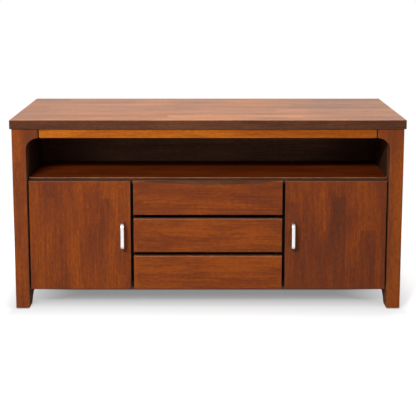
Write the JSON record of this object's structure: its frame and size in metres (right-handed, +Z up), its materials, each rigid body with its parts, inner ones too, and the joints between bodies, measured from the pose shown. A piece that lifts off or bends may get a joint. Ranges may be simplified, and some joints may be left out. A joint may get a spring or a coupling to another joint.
{
  "type": "sideboard",
  "caption": "Low dark-stained wooden sideboard with an open bay under the top, a hinged cupboard door at each end and a bank of drawers between them.",
  "frame": {"origin": "on the floor, at the middle of the sideboard's footprint, handles included", "axes": "+X to the right along the width, +Y from the doors to the back, +Z up"},
  "size_m": [1.2, 0.5346, 0.59],
  "materials": {
    "mahogany_stain": "red-brown stain under a satin lacquer, on glued staves",
    "edge_stain": "darker red-brown stain under a satin lacquer",
    "honey_stain": "lighter honey-brown stain under a satin lacquer",
    "inner_stain": "dark stain, thin matte lacquer",
    "dark_plywood": "dark stained plywood",
    "drawer_wood": "bare light wood, sanded",
    "plywood": "bare birch plywood",
    "handle_steel": "satin nickel look",
    "pin_steel": "plain bright steel",
    "zinc": "zinc plated",
    "glide_plastic": "black nylon",
    "catch_plastic": "black moulded case"
  },
  "bodies": {
    "carcass": {"top_panel": "edge_stain", "left_front_leg": "mahogany_stain", "right_front_leg": "mahogany_stain", "left_back_leg": "mahogany_stain", "right_back_leg": "mahogany_stain", "front_apron": "honey_stain", "rear_top_rail": "mahogany_stain", "left_top_rail": "mahogany_stain", "right_top_rail": "mahogany_stain", "left_bottom_rail": "mahogany_stain", "right_bottom_rail": "mahogany_stain", "left_side_panel": "mahogany_stain", "right_side_panel": "mahogany_stain", "bay_shelf": "edge_stain", "bay_back_panel": "dark_plywood", "bay_corner_battens": "inner_stain", "bottom_board": "inner_stain", "left_partition": "inner_stain", "right_partition": "inner_stain", "cabinet_back": "dark_plywood", "left_cupboard_shelf": "inner_stain", "right_cupboard_shelf": "inner_stain", "shelf_pins": "pin_steel", "drawer_runners": "drawer_wood", "hinge_arms": "zinc", "hinge_plates": "zinc", "hinge_screws": "zinc", "door_catches": "catch_plastic", "foot_glides": "glide_plastic", "top_brackets": "zinc", "top_bracket_screws": "zinc", "back_panel_screws": "zinc"},
    "left_door": {"left_door_panel": "mahogany_stain", "left_door_handle": "handle_steel", "left_handle_screws": "zinc", "left_hinge_knuckles": "zinc", "left_hinge_pins": "pin_steel", "left_catch_plate": "zinc"},
    "right_door": {"right_door_panel": "mahogany_stain", "right_door_handle": "handle_steel", "right_handle_screws": "zinc", "right_hinge_knuckles": "zinc", "right_hinge_pins": "pin_steel", "right_catch_plate": "zinc"},
    "top_drawer": {"top_drawer_front": "mahogany_stain", "top_drawer_left_side": "drawer_wood", "top_drawer_right_side": "drawer_wood", "top_drawer_back": "drawer_wood", "top_drawer_bottom": "plywood"},
    "middle_drawer": {"middle_drawer_front": "mahogany_stain", "middle_drawer_left_side": "drawer_wood", "middle_drawer_right_side": "drawer_wood", "middle_drawer_back": "drawer_wood", "middle_drawer_bottom": "plywood"},
    "bottom_drawer": {"bottom_drawer_front": "mahogany_stain", "bottom_drawer_left_side": "drawer_wood", "bottom_drawer_right_side": "drawer_wood", "bottom_drawer_back": "drawer_wood", "bottom_drawer_bottom": "plywood"}
  },
  "joints": [
    {"name": "left_door_hinge", "type": "hinge", "parent": "carcass", "child": "left_door", "pos_m": [-0.5414, -0.22925, 0.228], "axis": [0, 0, -1], "range_deg": [0, 95]},
    {"name": "right_door_hinge", "type": "hinge", "parent": "carcass", "child": "right_door", "pos_m": [0.5414, -0.22925, 0.228], "axis": [0, 0, 1], "range_deg": [0, 95]},
    {"name": "top_drawer_slide", "type": "slide", "parent": "carcass", "child": "top_drawer", "axis": [0, -1, 0], "range_m": [0, 0.3]},
    {"name": "middle_drawer_slide", "type": "slide", "parent": "carcass", "child": "middle_drawer", "axis": [0, -1, 0], "range_m": [0, 0.3]},
    {"name": "bottom_drawer_slide", "type": "slide", "parent": "carcass", "child": "bottom_drawer", "axis": [0, -1, 0], "range_m": [0, 0.3]}
  ]
}
